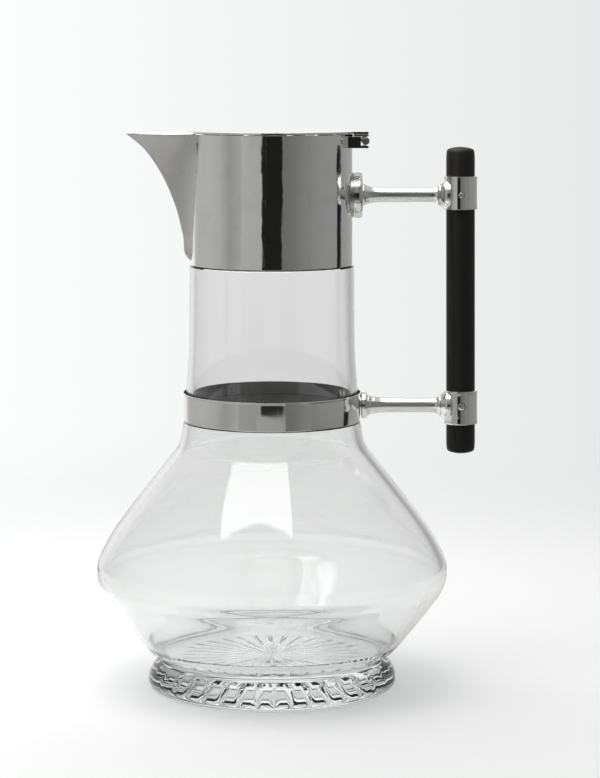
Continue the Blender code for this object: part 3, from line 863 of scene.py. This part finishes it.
def floor_end(s, place, a, aside, seen):
    """Share of the paper that has faded out; reflections also see it end a short way off."""
    length = s.node("ShaderNodeVectorMath", {0: place}, operation="LENGTH").outputs["Value"]
    fade = s.smooth(length, 0.10, 0.80)
    spread = s.math("MAXIMUM", a, 0.0)
    beyond_right = s.smooth(s.math("SUBTRACT", aside, spread), 0.19, 0.25)
    beyond_left = s.smooth(s.math("ADD", aside, spread), -0.36, -0.42)
    beyond_front = s.smooth(a, -0.42, -0.46)
    edge = s.math("MAXIMUM", s.math("MAXIMUM", beyond_right, beyond_left), beyond_front)
    edge = s.math("MAXIMUM", fade, edge)
    return s.node("ShaderNodeMix", {0: seen, 2: edge, 3: fade}).outputs[0]


def floor():
    """Pale sheet that fades into the backdrop, and ends sooner for reflections."""
    made, s = new_material("pale_floor")
    place = s.node("ShaderNodeTexCoord").outputs["Object"]
    ahead, right = turned_to_camera(s)
    a = s.dot(place, ahead)
    aside = s.dot(place, right)
    path = s.node("ShaderNodeLightPath")
    seen = s.math("MAXIMUM", path.outputs["Is Camera Ray"], path.outputs["Is Transmission Ray"])
    paper = s.node("ShaderNodeBsdfDiffuse", {"Color": floor_tone(s, a, aside, seen)})
    nothing = s.node("ShaderNodeBsdfTransparent")
    share = floor_end(s, place, a, aside, seen)
    both = s.node("ShaderNodeMixShader", {0: share, 1: paper.outputs[0], 2: nothing.outputs[0]})
    s.node("ShaderNodeOutputMaterial", {"Surface": both.outputs[0]})
    bm = bmesh.new()
    bmesh.ops.create_circle(bm, cap_ends=True, segments=96, radius=1.1)
    sheet = scene_object("floor", bm, [made])
    sheet.location.z = -0.00002


def card(name, corners, near_glow, far_glow, pivot, foot=1.0):
    """Glowing sheet that lights the jug and shows in it, but that the camera doesn't see.

    Its glow runs from near_glow at its first corner's X to far_glow at its third's, is weaker by
    the factor foot near the floor, and shines from its front only.
    """
    made, s = new_material(name)
    place = s.node("ShaderNodeSeparateXYZ", {0: s.node("ShaderNodeTexCoord").outputs["Object"]})
    strength = s.smooth(place.outputs["X"], corners[0][0], corners[2][0], near_glow, far_glow)
    strength = s.math("MULTIPLY", strength, s.smooth(place.outputs["Z"], 0.07, 0.15, foot, 1.0))
    shine = s.node("ShaderNodeEmission", {"Color": (1, 1, 0.995, 1), "Strength": strength})
    nothing = s.node("ShaderNodeBsdfTransparent")
    behind = s.node("ShaderNodeNewGeometry").outputs["Backfacing"]
    both = s.node("ShaderNodeMixShader", {0: behind, 1: shine.outputs[0], 2: nothing.outputs[0]})
    s.node("ShaderNodeOutputMaterial", {"Surface": both.outputs[0]})
    bm = bmesh.new()
    bm.faces.new([bm.verts.new(point) for point in corners])
    sheet = scene_object(name, bm, [made])
    sheet.parent = pivot
    sheet.visible_camera = False
    sheet.visible_shadow = False
    return sheet


def upright(x0, x1, y, top):
    """Corners of a card that stands on the floor and faces away from the camera."""
    return [(x0, y, 0), (x0, y, top), (x1, y, top), (x1, y, 0)]


def cards():
    """Soft box overhead, two grey cards in front with a low card in the gap between them, and a fill light.

    They hang on a pivot that keeps its front towards the camera.
    """
    pivot = bpy.data.objects.new("pivot", None)
    bpy.context.scene.collection.objects.link(pivot)
    follow = pivot.constraints.new("LOCKED_TRACK")
    follow.target = bpy.context.scene.camera
    follow.track_axis = "TRACK_NEGATIVE_Y"
    follow.lock_axis = "LOCK_Z"
    box = [(-0.225, -0.188, 0.43), (-0.225, 0.12, 0.43), (0.088, 0.12, 0.43), (0.088, -0.228, 0.43)]
    card("soft_box", box, 3.6, 3.6, pivot)
    card("left_card", upright(-0.30, -0.080, -0.33, 0.45), 0.41, 0.385, pivot, foot=0.76)
    card("right_card", upright(0.060, 0.30, -0.25, 0.45), 0.15, 0.22, pivot)
    card("low_card", upright(-0.080, 0.070, -0.24, 0.073), 0.33, 0.31, pivot)
    sky = [(-1.2, -0.9, 1.1), (-1.2, 0.8, 1.1), (0.45, 0.8, 1.1), (0.45, -0.9, 1.1)]
    fill = card("fill_light", sky, 2.1, 1.5, pivot)
    fill.visible_glossy = False
    fill.visible_transmission = False


def room_colour(s, a, b, up):
    """The room by direction, a ring of walls and a ceiling, first without and then with its dark floor.

    In the ring, 0 degrees is the camera's side and 180 the backdrop; minus is the camera's left.
    """
    around = s.math("ARCTAN2", b, s.math("MULTIPLY", a, -1.0))
    turn = s.math("ADD", s.math("DIVIDE", around, math.tau), 0.5)
    ring = [(-180, 0.93), (-152, 0.92), (-138, 0.48), (-128, 0.44), (-100, 0.45), (-80, 0.41),
            (-62, 0.30), (-46, 0.36), (-34, 0.41), (-30, 0.41), (-27, 0.012), (26, 0.012), (29, 0.21),
            (36, 0.22), (48, 0.20), (64, 0.24), (85, 0.26), (115, 0.27), (145, 0.36), (158, 0.42),
            (168, 0.9), (180, 0.93)]
    walls = s.ramp(turn, [(degrees / 360 + 0.5, glow) for degrees, glow in ring])
    high = s.smooth(up, 0.1, 0.28, 0.0, 0.22)
    high_glow = s.node("ShaderNodeCombineColor", {channel: high for channel in range(3)})
    walls = s.vector("MAXIMUM", walls, high_glow.outputs[0])
    ceiling = s.mix(s.smooth(up, 0.45, 0.8), walls, (0.5, 0.5, 0.5, 1))
    below = s.mix(s.smooth(b, -0.35, -0.6), (0.12, 0.12, 0.118, 1), (0.31, 0.31, 0.308, 1))
    return ceiling, s.mix(s.smooth(up, -0.1, -0.45), ceiling, below)


def studio():
    """Pale backdrop ahead of the camera and a dim room on its side.

    The room turns with the camera, as if the object stood on a turntable.
    """
    world = bpy.data.worlds.new("studio")
    world.use_nodes = True
    bpy.context.scene.world = world
    s = Shader(world.node_tree)
    ray = s.node("ShaderNodeTexCoord").outputs["Generated"]
    ahead, right = turned_to_camera(s)
    b = s.dot(ray, right)
    up = s.node("ShaderNodeSeparateXYZ", {0: ray}).outputs["Z"]
    ceiling, mirrored = room_colour(s, s.dot(ray, ahead), b, up)

    # what shows through the glass: the same room, lighter, above a bright floor
    refracted = s.vector("MAXIMUM", ceiling, (0.32, 0.32, 0.32))
    refracted = s.mix(s.smooth(up, 0.05, -0.25, 0.0, 0.85), refracted, (0.72, 0.72, 0.71, 1))

    # what the camera sees directly, a little brighter on the left as painted light from that side
    side = s.math("MULTIPLY", b, -0.75)
    backdrop = [s.math("ADD", side, tone) for tone in (0.885, 0.905, 0.895)]
    plain = s.node("ShaderNodeCombineColor", dict(enumerate(backdrop))).outputs[0]
    path = s.node("ShaderNodeLightPath")
    colour = s.mix(path.outputs["Is Transmission Ray"], mirrored, refracted)
    colour = s.mix(path.outputs["Is Camera Ray"], colour, plain)
    light = s.node("ShaderNodeBackground", {"Color": colour, "Strength": 1.0})
    s.node("ShaderNodeOutputWorld", {"Surface": light.outputs[0]})


def camera():
    """Level view camera a little above the lid, its lens raised so that uprights stay parallel.

    The rise belongs to this distance: from further off, the frame is centred on the lens.
    """
    distance, height, aside, drop, lens_mm = 1.061, 0.253, 0.0114, 0.4203, 120.3
    data = bpy.data.cameras.new("camera")
    data.lens = lens_mm
    data.clip_start = 0.01
    made = bpy.data.objects.new("camera", data)
    bpy.context.scene.collection.objects.link(made)
    made.location = (aside, -distance, height)
    made.rotation_euler = (math.radians(90), 0, 0)
    bpy.context.scene.camera = made

    spot = bpy.data.objects.new("camera_range_mark", None)
    bpy.context.scene.collection.objects.link(spot)
    rise = data.driver_add("shift_y")
    rise.driver.type = "AVERAGE"
    length = rise.driver.variables.new()
    length.type = "LOC_DIFF"
    length.targets[0].id = made
    length.targets[1].id = spot
    while rise.modifiers:
        rise.modifiers.remove(rise.modifiers[0])
    for reach, shift in ((distance + 0.1, -drop), (distance + 0.15, 0.0)):
        rise.keyframe_points.insert(reach, shift).interpolation = "LINEAR"
    rise.extrapolation = "CONSTANT"


def main():
    glass_vessel()
    collar_shell()
    spout_shell()
    lid_disc()
    lid_ring()
    lid_leaf()
    hinge_bracket()
    for place in ("front", "middle", "rear"):
        knuckle_tube("collar_knuckle_" + place, "jug")
    for place in ("front", "rear"):
        knuckle_tube("lid_knuckle_" + place, "lid")
    hinge_wire()
    band_hoop()
    cement_ring("collar_bedding", 31.3)
    cement_ring("band_bedding", 34.9)
    upper_flange()
    lower_flange()
    turned_arm("upper_arm", hub_r=4.5)
    turned_arm("lower_arm", hub_r=4.15)
    socket_ring("upper_ferrule")
    socket_ring("lower_ferrule")
    cross_pin("upper_handle_pin", r=1.3)
    cross_pin("lower_handle_pin", r=1.7)
    wooden_rod()
    floor()
    camera()
    cards()
    studio()
    bpy.context.scene.view_settings.view_transform = "Standard"


main()
